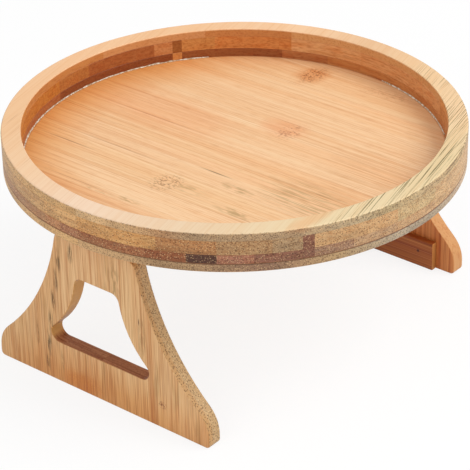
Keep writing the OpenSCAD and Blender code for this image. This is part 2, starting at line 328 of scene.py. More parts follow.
floorMarks = [
    dict(nodeMark, at=(-53, 3, 104), size=(12, 10, 4), colour="#9b7f58"),
    dict(nodeMark, at=(31, -13, 104), size=(12, 8, 4), amount=0.6, colour="#b07c50"),
    {"at": (33, -8, 104), "size": (13, 17, 4), "colour": "#f9d3c0", "amount": 0.5},
    dict(nodeMark, at=(95, 20, 104), size=(13, 9, 4), colour="#8f663e", amount=0.8),
    {"at": (95, 20, 104), "size": (14, 12, 4), "colour": "#ebbb88", "amount": 0.6},
    dict(darkLine, at=(-29.5, -11.5, 104), size=(0.6, 13, 4), colour="#74683f", amount=0.9),
    dict(darkLine, at=(-38, 50, 104), size=(0.5, 48, 4), colour="#b07e52"),
    dict(darkLine, at=(-49, 76, 104), size=(0.5, 24, 4), colour="#94683e", amount=0.75),
    dict(darkLine, at=(1, 55, 104), size=(0.5, 50, 4), colour="#b98a5e"),
    dict(darkLine, at=(-80, 42, 104), size=(0.5, 34, 4), colour="#b98a5e"),
    dict(darkLine, at=(-60, -62, 104), size=(0.5, 25, 4), colour="#b98a5e"),
    dict(greenStain, at=(-37, -32, 104), size=(4, 14, 4)),
    dict(greenStain, at=(-57, -46, 104), size=(4, 15, 4)),
    dict(greenStain, at=(-52, -12, 104), size=(5, 12, 4), amount=0.5),
    dict(greenStain, at=(-80, 6, 104), size=(2.5, 9, 4)),
    dict(greenStain, at=(-82, 26, 104), size=(2, 14, 4), amount=0.5),
    dict(greenStain, at=(-94, 8, 104), size=(3, 12, 4), amount=0.5),
    dict(greenStain, at=(-24, -66, 104), size=(20, 34, 4), amount=0.6, flecks=(20, 1.0, 3)),
    dict(greenStain, at=(20, -78, 104), size=(44, 36, 4), colour="#cfae84", amount=0.4,
         flecks=(60, 0.7, 3)),
    {"at": (10, 60, 104), "size": (26, 60, 4), "colour": "#fadcc8", "amount": 0.5, "wobbleSize": 20.0},
    dict(nodeMark, at=(100, -30, 104), size=(7, 20, 4), colour="#b48a5e", amount=0.25),
    dict(nodeMark, at=(-30, 40, 98.7), size=(12, 9, 4)),
    dict(nodeMark, at=(52, -58, 98.7), size=(12, 9, 4)),
    dict(nodeMark, at=(12, 86, 98.7), size=(11, 8, 4), colour="#8f663e"),
    dict(nodeMark, at=(-72, -64, 98.7), size=(11, 8, 4), colour="#8f663e"),
    dict(greenStain, at=(30, 10, 98.7), size=(9, 40, 4), amount=0.4),
]
# End grain dots are drawn about 1 mm apart, nearly twice the real spacing, because finer ones don't show.
speckle = [
    {"size": (1.2, 0.9, 0.85), "edge": (0.46, 0.2), "amount": 0.75, "colour": "#7a6656", "cells": True,
     "where": ["outer"]},
    {"size": (1.3, 1.0, 0.9), "edge": (0.36, 0.12), "amount": 0.55, "colour": "#efc890", "cells": True,
     "cover": True, "where": ["outer"]},
]
greyCloud = {"size": (22, 22, 5), "edge": (0.45, 0.68), "amount": 0.5, "colour": "#bdb9b8",
             "where": ["outer"]}
floorBand = byAngle([(-180, "#c9a070"), (-152, "#ab8862"), (-133, "#987258"), (-117, "#b69468"),
                     (-100, "#b3a188"), (-84, "#b09c82"), (-70, "#c6a98a"), (-50, "#dcb88c"),
                     (60, "#cfa272"), (120, "#d0a46e")])
# Painted bounce light: the floor is tinted a deeper orange along the back and left wall, where light thrown
# back from the orange walls falls.
paintedBounceWarmth = byAngle([(-180, "#fdf2e2"), (-150, "#ffffff"), (20, "#ffffff"), (60, "#f1cd9a"),
                      (110, "#f5d6a6"), (150, "#f9deb2"), (180, "#fdf2e2")])
# Distances from the middle and heights in millimetres. Level says when a face is no longer a wall.
wallZone = {"outFrom": 119.0, "outTo": 120.5, "levelFrom": 0.8, "levelTo": 0.6,
            "faceFrom": 120.3, "faceTo": 120.6}
# Where the floor's painted bounce light, painted corner shade and painted seam shade lie, and how strong
# they are.
floorZone = {"bounceFrom": 80.0, "bounceTo": 112.0, "cornerShadeFrom": 112.9, "cornerShadeTo": 114.0, "cornerShadeLow": 102.5,
             "cornerShadeHigh": 103.0, "cornerShade": 0.7, "cornerShadeColour": "#b98350", "seamShadeFrom": 103.0, "seamShadeTo": 103.5,
             "seam": 0.9, "seamShadeColour": "#6a4c34"}


# Masks for the tray's walls: outer, inner and level faces.
def wallMasks(tree, distance):
    upright = looksAlong(tree, "Z")
    upright = addNode(tree, "MapRange", {0: upright, 1: wallZone["levelFrom"], 2: wallZone["levelTo"]})
    outward = addNode(tree, "MapRange", {0: distance, 1: wallZone["outFrom"], 2: wallZone["outTo"]})
    outer = addNode(tree, "Math", {0: outward, 1: upright}, operation="MULTIPLY")
    inner = addNode(tree, "Math", {0: upright, 1: outer}, operation="SUBTRACT")
    return {"outer": outer, "inner": inner, "outward": outward}


def makeFloorBamboo():
    material, tree, shader = newMaterial("Bamboo panel, carbonised, sanded and lacquered")
    point = mmPlace(tree)
    distance, turn, height = aroundTray(tree, point)
    masks = wallMasks(tree, distance)
    colour = bamboo(tree, shader, point, floorLook, masks, floorMarks)
    # Painted bounce light: warmer towards the back and left wall.
    near = addNode(tree, "MapRange", {0: distance, 1: floorZone["bounceFrom"], 2: floorZone["bounceTo"]})
    bounceTint = blockColours(tree, turn, paintedBounceWarmth, "LINEAR")
    colour = addNode(tree, "Mix", {0: near, 6: colour, 7: bounceTint}, **tinting)
    # Painted shade in the corner against the rim, on the upper side only.
    corner = addNode(tree, "MapRange", {0: distance, 1: floorZone["cornerShadeFrom"], 2: floorZone["cornerShadeTo"],
                                        4: floorZone["cornerShade"]})
    above = addNode(tree, "MapRange", {0: height, 1: floorZone["cornerShadeLow"], 2: floorZone["cornerShadeHigh"]})
    corner = addNode(tree, "Math", {0: corner, 1: above}, operation="MULTIPLY")
    colour = addNode(tree, "Mix", {0: corner, 6: colour, 7: floorZone["cornerShadeColour"]}, **tinting)
    edge = blockColours(tree, turn, floorBand, "LINEAR")
    edge = paintLayers(tree, point, edge, speckle + [greyCloud], masks, 4.0)
    # Painted shade: a dark line at the top of the floor's outer edge, where the gap under the lower ply lies
    # in shadow.
    seamShade = addNode(tree, "MapRange", {0: height, 1: floorZone["seamShadeFrom"], 2: floorZone["seamShadeTo"],
                                          4: floorZone["seam"]})
    edge = addNode(tree, "Mix", {0: seamShade, 6: edge, 7: floorZone["seamShadeColour"]}, **tinting)
    colour = addNode(tree, "Mix", {0: masks["outer"], 6: colour, 7: edge}, **painting)
    tree.links.new(colour, shader.inputs["Base Color"])
    return material


# Bamboo plies sawn into a ring through blocks of glued strips, sanded and lacquered. The eye gets blocks
# of tan, straw and dark red-brown round the wall, speckled where the saw cut the fibres, smoother inside.
wallLayers = [
    {"size": (60, 5, 1.6), "edge": (0.4, 0.68), "amount": 0.55, "colour": "#e0c4a2"},
    {"size": (34, 1.4, 0.7), "edge": (0.5, 0.7), "amount": 0.4, "colour": "#c9a078"},
    {"size": (5, 1.3, 0.9), "edge": (0.48, 0.66), "amount": 0.35, "colour": "#c08a5c", "where": ["inner"]},
    {"size": (12, 12, 3), "edge": (0.45, 0.65), "amount": 0.35, "colour": "#ffd9b0", "where": ["inner"]},
] + speckle + [greyCloud]
coreLook = dict(fibre, turn=(0, 0, -90), layers=wallLayers, seed=4.0)
lowLook = dict(coreLook, seed=9.0)
coreOuter = byAngle([(-180, "#d09c60"), (-159, "#b68150"), (-145.7, "#b1895e"), (-133, "#b0906a"),
                     (-126, "#90604a"), (-122.6, "#d0a675"), (-101, "#cfb283"), (-87, "#d5b081"),
                     (-12, "#cfa472"), (20, "#e0ba8e"), (52, "#c3935f"), (96, "#d9b07a"),
                     (130, "#cba06c"), (168, "#d8a970")])
coreInner = byAngle([(-180, "#d4964e"), (-120, "#c9884d"), (-40, "#d89c66"), (0, "#dca46e"),
                     (21.7, "#cf8749"), (43.9, "#cb8c4e"), (54, "#9e602e"), (57.5, "#c88a57"),
                     (61.9, "#ab6738"), (70, "#a96434"), (84.7, "#b8763c"), (98, "#c47f38"),
                     (150, "#d69349")])
lowOuter = byAngle([(-180, "#a26842"), (-162, "#925632"), (-152, "#5e3a2a"), (-145.7, "#ab745a"),
                    (-137, "#92624c"), (-122.6, "#a88266"), (-113, "#bf9a74"), (-100, "#cda67a"),
                    (-86, "#d3ad7e"), (-30, "#c2905f"), (30, "#a8754f"), (90, "#c99a6a"),
                    (140, "#b98a60"), (168, "#c0895c"), (174, "#a87250")])
lowInner = byAngle([(-180, "#b37644"), (-60, "#c28048"), (10, "#b47242"), (25, "#98582e"),
                    (54.6, "#d08e50"), (57.5, "#8e4e28"), (98, "#ae6c40")])
topOuter = byAngle([(-180, "#e0ba88"), (-167, "#cca576"), (-157, "#b0835a"), (-151, "#af906c"),
                    (-127, "#b0926f"), (-111, "#c8b08a"), (-103, "#bda67c"), (-87, "#c6aa80"),
                    (-72, "#d8b886"), (90, "#d3a870")])
topInner = byAngle([(-180, "#d89857"), (-40, "#cf965f"), (0, "#d29b64"), (22, "#c4824a"),
                    (47.8, "#ce925e"), (80, "#c6864c"), (120, "#c88642")])
rimFace = byAngle([(-180, "#ebceb2"), (-150, "#e2c7a4"), (-120, "#e2cda4"), (-75, "#dfc79a"),
                   (-50, "#eac89c"), (-25, "#e9c598"), (0, "#e3b98e"), (20, "#eec49a"), (60, "#ecbe90"),
                   (90, "#edc094"), (130, "#e8bd90"), (160, "#eac6a0"), (179, "#ebceb2")])
glueSplash = {"colour": "#cfc6b4", "cover": True, "amount": 0.8, "wobble": 1.2, "wobbleSize": 1.6}
lowMarks = [
    dict(glueSplash, at=(-60, 97.2, 104.6), size=(12, 9, 0.35)),
    dict(glueSplash, at=(52, 101.7, 104.4), size=(3, 3, 0.4)),
    dict(glueSplash, at=(60, 97.2, 104.3), size=(2, 2, 0.4)),
]
oliveStreaks = {"colour": "#7d7a52", "amount": 0.95, "flecks": (45, 0.45, 3), "fleckEdge": (0.55, 0.61),
                "wobbleSize": 14.0}
topMarks = [
    dict(oliveStreaks, at=(2, -112, 121), size=(78, 17, 5)),
    dict(oliveStreaks, at=(74, -92, 121), size=(38, 30, 5), amount=0.85),
    dict(oliveStreaks, at=(108, -56, 121), size=(18, 26, 5), amount=0.5),
    {"at": (-60, -100, 121), "size": (30, 6, 4), "colour": "#fbd9c0", "amount": 0.7, "wobbleSize": 9.0},
]
# These lie along the fibres of the top ply, so their places are in its turned frame.
topLines = [
    dict(darkLine, at=(-48, 109.5, 117), size=(12, 0.45, 6), colour="#a8683c", amount=0.85, wobble=0.05),
    dict(darkLine, at=(-60, 101, 117), size=(14, 0.4, 6), colour="#c08a5a", wobble=0.05),
    dict(darkLine, at=(-84, 78, 117), size=(14, 0.4, 6), colour="#c08a5a", wobble=0.05),
]


# The top ply is one board: its tones run into each other, and its upper face has stops of its own.
def makeRingBamboo(name, outerStops, innerStops, look, marks=(), lines=(), faceStops=None):
    material, tree, shader = newMaterial(name)
    point = mmPlace(tree)
    distance, turn, height = aroundTray(tree, point)
    masks = wallMasks(tree, distance)
    outerTint = blockColours(tree, turn, outerStops, "LINEAR" if faceStops else "CONSTANT")
    innerTint = blockColours(tree, turn, innerStops)
    tint = addNode(tree, "Mix", {0: masks["outward"], 6: innerTint, 7: outerTint}, **painting)
    if faceStops:
        face = blockColours(tree, turn, faceStops, "LINEAR")
        upper = addNode(tree, "MapRange", {0: height, 1: wallZone["faceFrom"], 2: wallZone["faceTo"]})
        tint = addNode(tree, "Mix", {0: upper, 6: tint, 7: face}, **painting)
    bamboo(tree, shader, point, look, masks, marks, lines, tint)
    return material


topLook = dict(fibre, turn=(0, 0, -14), seed=2.0, layers=[
    {"size": (150, 4, 4), "edge": (0.4, 0.7), "amount": 0.25, "colour": "#f6dcbc"},
    {"size": (140, 0.9, 0.9), "edge": (0.5, 0.78), "amount": 0.35, "colour": "#e6c49a"},
    {"size": (5, 1.3, 0.9), "edge": (0.48, 0.66), "amount": 0.3, "colour": "#c08a5c", "where": ["inner"]},
    {"size": (30, 1.1, 1.1), "edge": (0.52, 0.64), "amount": 0.6, "colour": "#8f8474",
     "where": ["outer", "side"]},
] + speckle + [greyCloud])

# Bamboo board, planed, sanded and lacquered, fibres upright. The eye gets close dark and pale lines,
# columns of grey-green dashes, a reddish node mark at the foot and dark end grain in the cut-out.
legLook = dict(
    fibre, turn=(0, 90, 0), stripWidth=27.0, stripStart=1.0, seed=13.0, cutFrom=0.45, cutTo=0.9,
    strips=["#dbb27f", "#deb583", "#dab07c"],
    layers=[
        {"size": (260, 9, 9), "edge": (0.4, 0.65), "amount": 0.45, "colour": "#efd2b2"},
        {"size": (110, 2.4, 2.4), "edge": (0.45, 0.7), "amount": 0.4, "colour": "#e2bc92"},
        {"size": (30, 0.6, 0.6), "edge": (0.46, 0.6), "amount": 0.6, "colour": "#c9a47c"},
        {"size": (60, 0.7, 0.7), "edge": (0.5, 0.66), "amount": 0.3, "colour": "#efcfa2", "cover": True},
        {"size": (28, 4, 4), "edge": (0.58, 0.72), "amount": 0.4, "colour": "#c4bf9e"},
        {"amount": 0.9, "colour": "#cb9550", "cover": True, "where": ["edge", "hole"]},
        {"amount": 0.85, "colour": "#bf9562", "cover": True, "where": ["edge", "outerPly", "outline"]},
        {"amount": 0.85, "colour": "#bc9b6e", "cover": True, "where": ["edge", "innerPly", "outline"]},
        {"size": (1.3, 0.9, 0.9), "edge": (0.46, 0.2), "amount": 0.8, "colour": "#7c6c5a", "cells": True,
         "where": ["edge", "outline"]},
        {"size": (1.4, 1.0, 1.0), "edge": (0.36, 0.12), "amount": 0.6, "colour": "#ead0a0", "cells": True,
         "cover": True, "where": ["edge", "innerPly", "outline"]},
        {"amount": 0.85, "colour": "#a0684a", "cover": True, "where": ["cut", "hole"]},
        {"size": (500, 50, 1.3), "edge": (0.42, 0.6), "amount": 0.6, "colour": "#b57b55",
         "where": ["cut", "hole"]},
        {"size": (3, 1.2, 1.0), "edge": (0.5, 0.66), "amount": 0.5, "colour": "#b08a7a",
         "where": ["cut", "hole"]},
    ])
streakColumn = dict(greenStain, colour="#93907a", amount=0.9, size=(1.2, 2.2, 9), flecks=(7, 0.45, 3),
                    fleckEdge=(0.46, 0.54), wobble=0.2)
# The near leg's columns of dashes: place along Y and Z, then what differs. They are 1.2 mm deep, so that
# none colours the inside of the cut-out.
streaks = [
    (26, 76, {}), (28.5, 64, {}), (31.5, 50, {}), (34, 36, {"size": (1.2, 2.2, 10)}),
    (36.5, 22, {"size": (1.2, 2.4, 10), "colour": "#7c7a6a"}), (38, 9, {"size": (1.2, 1.8, 7)}),
    (44.4, 25, {"size": (1.2, 1.6, 11), "amount": 0.6, "colour": "#8f886e"}),
    (27, 14, {"size": (1.2, 1.6, 9), "amount": 0.5}),
    (17, 84, {"size": (1.2, 2.4, 7), "colour": "#85866f"}),
    (-13, 78, {"size": (1.2, 5, 14), "colour": "#b0ab8a", "amount": 0.6, "flecks": (9, 1.6, 3)}),
    (-31, 50, {"size": (1.2, 3, 20), "colour": "#a8a07c", "amount": 0.5}),
]
legMarks = [
    {"at": (-114, 0, -2), "size": (1.4, 95, 30), "colour": "#f5dcbc", "amount": 1.0, "wobble": 0.2,
     "wobbleSize": 16.0},
] + [dict(streakColumn, at=(-114, y, z), **own) for y, z, own in streaks] + [
    {"at": (-114, 14, 5), "size": (1.2, 16, 8), "colour": "#fbe0b4", "amount": 0.8},
    {"at": (-114, 12, 6), "size": (1.2, 18, 9), "colour": "#b8743a", "amount": 0.45,
     "flecks": (1.0, 1.2, 3), "cover": True},
    {"at": (-114, -43, 14.5), "size": (1.2, 3.5, 2.5), "colour": "#8b5a34", "amount": 0.9,
     "flecks": (2, 1, 3)},
    dict(darkLine, at=(-114, -29, 59.5), size=(1.2, 0.5, 2.6), colour="#4a3020", amount=0.9),
]
# The far leg: a more orange board whose face tones are also darkened to stand in for the shade under the
# tray (painted shade); its lit edge stays bright.
farLegLookAndShade = dict(
    legLook, seed=17.0, strips=["#cf8c52", "#d3935a"],
    layers=[
        {"size": (260, 9, 9), "edge": (0.4, 0.65), "amount": 0.5, "colour": "#ecc29a"},
        {"size": (110, 2.4, 2.4), "edge": (0.45, 0.7), "amount": 0.6, "colour": "#dcae80"},
        {"size": (45, 0.9, 0.9), "edge": (0.46, 0.66), "amount": 0.7, "colour": "#bf8a58"},
        {"amount": 0.85, "colour": "#d29c64", "cover": True, "where": ["edge"]},
        {"size": (60, 1.2, 1.2), "edge": (0.48, 0.66), "amount": 0.4, "colour": "#dba470",
         "where": ["edge"]},
        {"amount": 0.85, "colour": "#a4683e", "cover": True, "where": ["cut", "hole"]},
        {"size": (500, 50, 1.3), "edge": (0.42, 0.6), "amount": 0.6, "colour": "#b57b55",
         "where": ["cut", "hole"]},
    ])
# Where a leg's edge begins, where its edge changes tone, and what tells the outline from the cut-out.
legZone = {"edgeFrom": 0.8, "edgeTo": 0.6, "plyFrom": 110.9, "plyTo": 111.5, "slope": 0.45,
            "holeTo": 50.0, "outlineFrom": 54.0, "holeMiddle": 47.5, "holeHalf": 25.0, "holeEnd": 29.0}


def makeLegBamboo(name, look, marks=()):
    material, tree, shader = newMaterial(name)
    point = mmPlace(tree)
    facing = looksAlong(tree, "X")
    parts = addNode(tree, "SeparateXYZ", {0: point}).node.outputs
    deep = addNode(tree, "Math", {0: parts["X"]}, operation="ABSOLUTE")
    away = addNode(tree, "Math", {0: parts["Y"]}, operation="ABSOLUTE")
    away = addNode(tree, "Math", {0: parts["Z"], 1: legZone["slope"], 2: away}, operation="MULTIPLY_ADD")
    offMiddle = addNode(tree, "Math", {0: parts["Z"], 1: legZone["holeMiddle"]}, operation="SUBTRACT")
    offMiddle = addNode(tree, "Math", {0: offMiddle}, operation="ABSOLUTE")
    level = addNode(tree, "MapRange", {0: offMiddle, 1: legZone["holeEnd"], 2: legZone["holeHalf"]})
    hole = addNode(tree, "MapRange", {0: away, 1: legZone["outlineFrom"], 2: legZone["holeTo"],
                                      4: level})
    masks = {
        "outline": addNode(tree, "Math", {0: 1.0, 1: hole}, operation="SUBTRACT"),
        "hole": hole,
        "edge": addNode(tree, "MapRange", {0: facing, 1: legZone["edgeFrom"], 2: legZone["edgeTo"]}),
        "outerPly": addNode(tree, "MapRange", {0: deep, 1: legZone["plyFrom"], 2: legZone["plyTo"]}),
        "innerPly": addNode(tree, "MapRange", {0: deep, 1: legZone["plyTo"], 2: legZone["plyFrom"]}),
    }
    bamboo(tree, shader, point, look, masks, marks)
    return material


# Bamboo batten, dark carbonised, planed and lacquered: red-brown with long fine lines along it.
battenLook = dict(
    fibre, turn=(0, 0, -90), seed=21.0, stripWidth=40.0, stripStart=20.0,
    layers=[
        {"size": (200, 4, 4), "edge": (0.42, 0.66), "amount": 0.6, "colour": "#dba878"},
        {"size": (160, 0.9, 0.9), "edge": (0.46, 0.66), "amount": 0.8, "colour": "#c48e60"},
        {"size": (140, 0.8, 0.8), "edge": (0.56, 0.72), "amount": 0.35, "colour": "#d9975c",
         "cover": True},
        {"amount": 0.8, "colour": "#c88b4c", "cover": True, "where": ["cut"]},
    ])
battenTint = "#a05d28"
battenKnot = {"at": (101.4, -51.5, 10), "size": (3, 1.2, 1.2), "colour": "#5a3018", "amount": 0.9}


def makeBattenBamboo():
    material, tree, shader = newMaterial("Bamboo batten, dark carbonised, lacquered")
    bamboo(tree, shader, mmPlace(tree), battenLook, marks=[battenKnot], tint=battenTint)
    return material


floorBamboo = makeFloorBamboo()
topBamboo = makeRingBamboo("Bamboo top ply, lacquered", topOuter, topInner, topLook, topMarks, topLines,
                           rimFace)
coreBamboo = makeRingBamboo("Bamboo core ply, lacquered", coreOuter, coreInner, coreLook)
lowBamboo = makeRingBamboo("Bamboo lower ply, dark carbonised", lowOuter, lowInner, lowLook, lowMarks)
nearLegBamboo = makeLegBamboo("Bamboo board, grey-streaked, lacquered", legLook, legMarks)
farLegBambooAndShade = makeLegBamboo("Bamboo board, orange, with painted shade, lacquered", farLegLookAndShade)
battenBamboo = makeBattenBamboo()
print("bamboo made")


# Metals: their cloudiness and fine scratches come from one stretched noise, sizes in millimetres.
metals = {
    # Pressed steel sheet, bright zinc plated: cool pale grey with a faint bloom, half shiny.
    "zincSheet": {"name": "Steel sheet, bright zinc plated", "colour": "#c9ccce", "cloud": "#a9adb0",
                  "roughness": (0.25, 0.42), "size": (2.5, 2.5, 2.5)},
    # Drawn steel pin: darker, with fine lines along its length.
    "pinSteel": {"name": "Steel pin, drawn", "colour": "#a8a8a8", "cloud": "#8d8d8f",
                 "roughness": (0.22, 0.36), "size": (0.4, 3.0, 0.4)},
    # Spring wire, drawn and oiled: dark grey with a wet shine.
    "springWire": {"name": "Spring wire, drawn and oiled", "colour": "#8a8a8c", "cloud": "#6c6c70",
                   "roughness": (0.2, 0.35), "size": (0.5, 0.5, 0.5)},
    # Zinc plated screw: slightly yellow grey, cloudy.
    "screwSteel": {"name": "Screw steel, zinc plated", "colour": "#c4c4c0", "cloud": "#a2a29c",
                   "roughness": (0.22, 0.4), "size": (0.8, 0.8, 0.8)},
}
metalFace = {"cloud": (0.35, 0.7), "rough": (0.3, 0.7), "bump": 0.1, "bumpDeep": 0.05 * mm}


def makeMetal(finish):
    material, tree, shader = newMaterial(finish["name"])
    cloud = fibrePattern(tree, mmPlace(tree), {"size": finish["size"], "detail": 3.0}, 1.0)
    low, high = metalFace["cloud"]
    shade = addNode(tree, "MapRange", {0: cloud, 1: low, 2: high})
    colour = addNode(tree, "Mix", {0: shade, 6: finish["colour"], 7: finish["cloud"]}, **painting)
    tree.links.new(colour, shader.inputs["Base Color"])
    smooth, rough = finish["roughness"]
    low, high = metalFace["rough"]
    roughness = addNode(tree, "MapRange", {0: cloud, 1: low, 2: high, 3: smooth, 4: rough})
    tree.links.new(roughness, shader.inputs["Roughness"])
    bump = addNode(tree, "Bump", {"Height": cloud, "Strength": metalFace["bump"],
                                  "Distance": metalFace["bumpDeep"]})
    tree.links.new(bump, shader.inputs["Normal"])
    shader.inputs["Metallic"].default_value = 1.0
    return material


zincSheet = makeMetal(metals["zincSheet"])
pinSteel = makeMetal(metals["pinSteel"])
springWire = makeMetal(metals["springWire"])
screwSteel = makeMetal(metals["screwSteel"])


# Wood glue, dried where it was squeezed out of the floor joint: a thin greyish white line, half shiny.
glueLook = {"thin": "#a88d6c", "thick": "#ded6c6", "size": (1.4, 1.4, 1.4), "edge": (0.4, 0.6),
            "roughness": 0.38}


def makeGlue():
    material, tree, shader = newMaterial("Wood glue, dried")
    cloud = fibrePattern(tree, mmPlace(tree), glueLook, 2.0)
    low, high = glueLook["edge"]
    shade = addNode(tree, "MapRange", {0: cloud, 1: low, 2: high})
    colour = addNode(tree, "Mix", {0: shade, 6: glueLook["thin"], 7: glueLook["thick"]}, **painting)
    tree.links.new(colour, shader.inputs["Base Color"])
    shader.inputs["Roughness"].default_value = glueLook["roughness"]
    return material


driedGlue = makeGlue()
print("metal and glue made")


# The tray: plain discs and rings with their edges rounded and a fine groove at each glue seam.
tray = {"radius": 124.985 * mm, "inner": 114.25 * mm, "segments": 288,
        "floorLow": 98.75 * mm, "lowPly": 103.75 * mm, "corePly": 108.65 * mm, "topPly": 116.35 * mm,
        "top": 121.0 * mm, "roundTop": 1.0 * mm, "roundInner": 0.4 * mm, "seam": 0.18 * mm,
        "offRound": 0.1 * mm}


def makeDisc(name, low, high):
    bpy.ops.object.select_all(action="DESELECT")
    bpy.ops.mesh.primitive_cylinder_add(vertices=tray["segments"], radius=tray["radius"], depth=high - low,
                                        location=(0, 0, (low + high) / 2))
    piece = bpy.context.active_object
    piece.name = name
    applyPlace(piece)
    return piece


# Rounds one circle of edges, found by its radius and height, to a width in so many steps.
def easeRing(piece, radius, level, width, segments):
    def onRing(a, b):
        return all(abs(p.z - level) < slack and abs(p.xy.length - radius) < tray["offRound"] for p in (a, b))
    pick(piece, "EDGE", onRing)
    bpy.ops.mesh.bevel(offset=width, segments=segments, affect="EDGES")
    leaveEdit()


def makeRing(name, low, high, eases):
    piece = makeDisc(name, low, high)
    pick(piece, "FACE", lambda centre, normal: abs(normal.z) > levelFace)
    bpy.ops.mesh.inset(thickness=tray["radius"] - tray["inner"], depth=0)
    bpy.ops.mesh.bridge_edge_loops()
    leaveEdit()
    for radius, level, width, segments in eases:
        easeRing(piece, radius, level, width, segments)
    faceOutwards(piece)
    smoothOver(piece)
    return piece


outerR = tray["radius"]
innerR = tray["inner"]
seam = tray["seam"]
topPly = makeRing("rimTop", tray["topPly"], tray["top"], [
    (outerR, tray["top"], tray["roundTop"], 5), (innerR, tray["top"], tray["roundInner"], 3),
    (outerR, tray["topPly"], seam, 1), (innerR, tray["topPly"], seam, 1)])
corePly = makeRing("rimCore", tray["corePly"], tray["topPly"], [
    (outerR, tray["topPly"], seam, 1), (innerR, tray["topPly"], seam, 1),
    (outerR, tray["corePly"], seam, 1), (innerR, tray["corePly"], seam, 1)])
lowPly = makeRing("rimLower", tray["lowPly"], tray["corePly"], [
    (outerR, tray["corePly"], seam, 1), (innerR, tray["corePly"], seam, 1),
    (outerR, tray["lowPly"], seam, 1)])
floorPanel = makeDisc("floorPanel", tray["floorLow"], tray["lowPly"])
easeRing(floorPanel, outerR, tray["floorLow"], tray["roundTop"], 5)
easeRing(floorPanel, outerR, tray["lowPly"], seam, 1)
smoothOver(floorPanel)
stand(topPly, "tray", "rim_top_bamboo", topBamboo, "rim_top_ply")
stand(corePly, "tray", "core_bamboo", coreBamboo, "rim_core_ply")
stand(lowPly, "tray", "dark_bamboo", lowBamboo, "rim_lower_ply")
stand(floorPanel, "tray", "floor_bamboo", floorBamboo, "floor_panel")
print("tray made")


# The glue squeezed out at the floor joint: a small round spun through an arc, then made lumpy.
glue = {"radius": 0.5 * mm, "sides": 8, "stepsPerDegree": 1.5, "lump": 0.8 * mm, "lumpSize": 3.0 * mm,
        "arcs": [("glueBack", 47, 152), ("glueRight", -46, -8)]}


def makeGlueLine(name, start, end):
    turn = math.radians(start)
    bpy.ops.object.select_all(action="DESELECT")
    place = (tray["inner"] * math.cos(turn), tray["inner"] * math.sin(turn), tray["lowPly"])
    bpy.ops.mesh.primitive_circle_add(vertices=glue["sides"], radius=glue["radius"], fill_type="NGON",
                                      location=place, rotation=(math.radians(90), 0, turn))
    piece = bpy.context.active_object
    piece.name = name
    applyPlace(piece)
    pickAll(piece)
    bpy.ops.mesh.spin(steps=int((end - start) * glue["stepsPerDegree"]), angle=math.radians(end - start),
                      center=(0, 0, 0), axis=(0, 0, -1))
    leaveEdit()
    faceOutwards(piece)
    lumps = bpy.data.textures.new(name + "Lumps", "CLOUDS")
    lumps.noise_scale = glue["lumpSize"]
    displace = piece.modifiers.new("lumps", "DISPLACE")
    displace.texture = lumps
    displace.strength = glue["lump"]
    displace.mid_level = 0.5
    takeUp(piece)
    bpy.ops.object.modifier_apply(modifier=displace.name)
    smoothOver(piece, smoothRound)
    stand(piece, "tray", "floor_bamboo", driedGlue)


for name, start, end in glue["arcs"]:
    makeGlueLine(name, start, end)
print("glue made")


# Legs, battens, leaves and pins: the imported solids, edges eased by a width in so many steps.
easing = {"leg": (0.7 * mm, 3), "batten": (0.5 * mm, 2), "sheet": (0.12 * mm, 2), "pin": (0.3 * mm, 3)}


def easedCopy(node, name, ease):
    piece = bpy.data.objects.new(name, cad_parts[node].data.copy())
    putInScene(piece)
    takeUp(piece)
    if piece.data.has_custom_normals:
        bpy.ops.mesh.customdata_custom_splitnormals_clear()
    joinPoints(piece)
    bpy.ops.mesh.tris_convert_to_quads(face_threshold=math.radians(flatWithin), shape_threshold=math.pi)
    leaveEdit()
    width, segments = ease
    easeEdges(piece, width, segments)
    smoothOver(piece)
    return piece


for side, legMaterial in (("left", nearLegBamboo), ("right", farLegBambooAndShade)):
    leg = side + "_leg"
    board = easedCopy(side + "_leg_board", side + "Leg", easing["leg"])
    stand(board, leg, "leg_bamboo", legMaterial, side + "_leg_board")
    batten = easedCopy(side + "_grip_batten", side + "Batten", easing["batten"])
    stand(batten, leg, "batten_bamboo", battenBamboo, side + "_grip_batten")
    for row in ("front", "back"):
        corner = side + row.capitalize()
        for kind, body in (("tray", "tray"), ("leg", leg)):
            node = side + "_" + row + "_" + kind + "_leaf"
            leaf = easedCopy(node, corner + kind.capitalize() + "Leaf", easing["sheet"])
            stand(leaf, body, "zinc_sheet", zincSheet, node)
        node = side + "_" + row + "_pin"
        pin = easedCopy(node, corner + "Pin", easing["pin"])
        stand(pin, "tray", "pin_steel", pinSteel, node)
print("legs and leaves made")


# Torsion springs: one wire drawn point by point, from an upper arm through the coil to a lower arm.
spring = {"wire": 0.8 * mm, "turns": 7.25, "pitch": 1.35 * mm, "radius": 1.8 * mm, "arm": 6.5 * mm,
          "steps": 28, "pinX": 101.62 * mm, "pinZ": 95.15 * mm, "hingeY": 12.0 * mm, "inset": 0.5 * mm}
sideNames = {-1: "left", 1: "right"}
rowNames = {-1: "front", 1: "back"}


